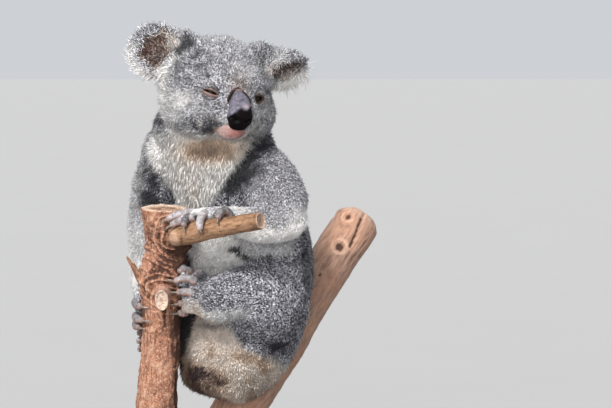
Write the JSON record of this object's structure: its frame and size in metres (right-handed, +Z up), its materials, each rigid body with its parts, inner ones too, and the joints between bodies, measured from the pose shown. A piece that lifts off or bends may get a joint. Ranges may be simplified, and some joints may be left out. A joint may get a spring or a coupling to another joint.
{
  "type": "koala on a branch perch with a display stand",
  "caption": "Life-size still koala gripping a forked, sawn gum branch, held over a round display base by two short rods.",
  "frame": {"origin": "centre of the underside of the round display base", "axes": "+Z up; +X to the viewer's right as the animal is usually seen, the koala's left; -Y towards the viewer, whom its face looks past"},
  "size_m": [0.4, 0.4, 0.6663],
  "materials": {
    "fur": "dense woolly coat, grey flecked with black, cream bib",
    "skin": "bare nose pad",
    "eye": "wet dark brown",
    "claw": "dark horn",
    "bark": "rough red-brown bark and pale sawn or broken wood",
    "stand_wood": "dark satin",
    "steel": "brushed"
  },
  "bodies": {
    "root": {"perch_trunk": "bark", "perch_limb": "bark", "perch_side_branch": "bark", "perch_peg": "bark", "perch_splinter": "bark", "claw_hand_left_1": "claw", "claw_hand_left_2": "claw", "claw_hand_left_3": "claw", "claw_hand_left_4": "claw", "claw_hand_left_5": "claw", "claw_hand_right_1": "claw", "claw_hand_right_2": "claw", "claw_hand_right_3": "claw", "claw_hand_right_4": "claw", "claw_hand_right_5": "claw", "claw_foot_left_2": "claw", "claw_foot_left_3": "claw", "claw_foot_left_4": "claw", "claw_foot_left_5": "claw", "claw_foot_right_2": "claw", "claw_foot_right_3": "claw", "claw_foot_right_4": "claw", "claw_foot_right_5": "claw", "nose": "skin", "eye_left": "eye", "eye_right": "eye", "head": "fur", "ear_left": "fur", "ear_right": "fur", "rump": "fur", "belly": "fur", "chest": "fur", "neck": "fur", "upper_arm_left": "fur", "thigh_left": "fur", "forearm_left": "fur", "shank_left": "fur", "upper_arm_right": "fur", "thigh_right": "fur", "forearm_right": "fur", "shank_right": "fur", "hand_left": "fur", "hand_right": "fur", "foot_left": "fur", "foot_right": "fur", "stand_base": "stand_wood", "stand_rod_rear": "steel", "stand_rod_front": "steel"}
  },
  "joints": []
}
